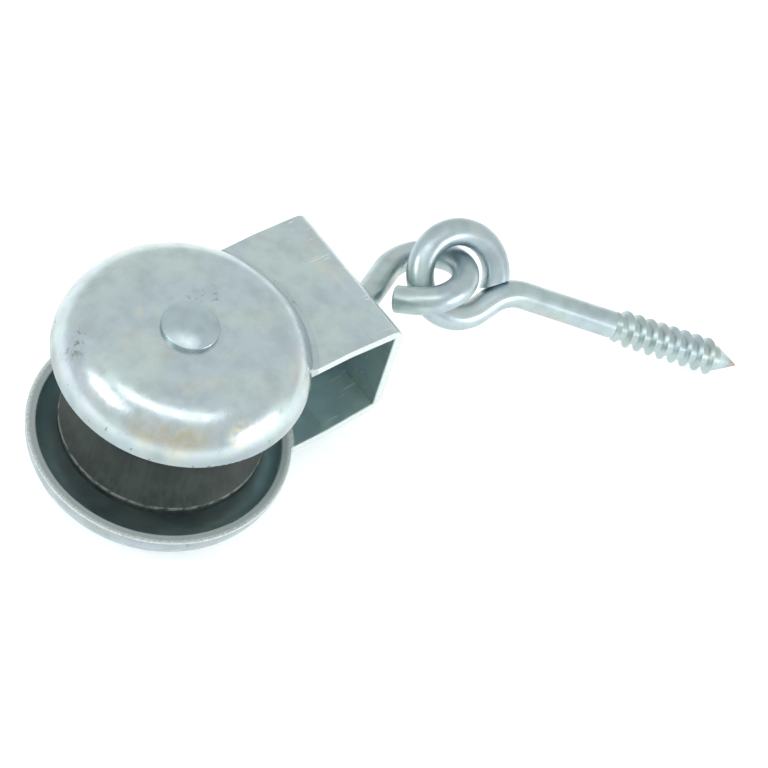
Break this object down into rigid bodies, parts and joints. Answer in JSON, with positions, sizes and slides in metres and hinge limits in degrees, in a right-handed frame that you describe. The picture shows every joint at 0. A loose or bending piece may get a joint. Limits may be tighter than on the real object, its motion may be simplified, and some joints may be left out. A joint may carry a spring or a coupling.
{
  "type": "gate closer pulley",
  "caption": "Gate closer pulley: a grooved sheave between two dished cheeks of a bent strap, with a swivel hook and a screw eye for the post.",
  "frame": {"origin": "middle of the sheave's groove, on the axle", "axes": "+Z along the axle towards the rivet's domed head, +X along the strap to its web and the hook"},
  "size_m": [0.1476, 0.068, 0.0498],
  "materials": {
    "zinc_sheet": "zinc plated, satin, with a faint yellow and blue tint",
    "zinc_rod": "zinc plated, satin to bright",
    "rivet_steel": "zinc plated, satin",
    "inner_steel": "plain drawn steel, lightly oiled",
    "sheave_iron": "dark, oiled, worn bright along the flange corners"
  },
  "bodies": {
    "housing": {"strap_housing": "zinc_sheet", "spacer_tube": "inner_steel", "axle_rivet": "rivet_steel"},
    "wheel": {"sheave": "sheave_iron"},
    "hook": {"hook": "zinc_rod", "hook_washer": "rivet_steel"},
    "eye": {"screw_eye": "zinc_rod"}
  },
  "joints": [
    {"name": "wheel_spin", "type": "hinge", "parent": "housing", "child": "wheel", "pos_m": [0, 0, 0], "axis": [0, 0, 1], "continuous": true},
    {"name": "hook_swivel", "type": "hinge", "parent": "housing", "child": "hook", "pos_m": [0.0436, 0, 0], "axis": [1, 0, 0], "continuous": true},
    {"name": "eye_swing", "type": "hinge", "parent": "hook", "child": "eye", "pos_m": [0.069, -0.0049, 0.0009], "axis": [-0.1203, -0.6402, 0.7587], "range_deg": [-90, 140]}
  ]
}
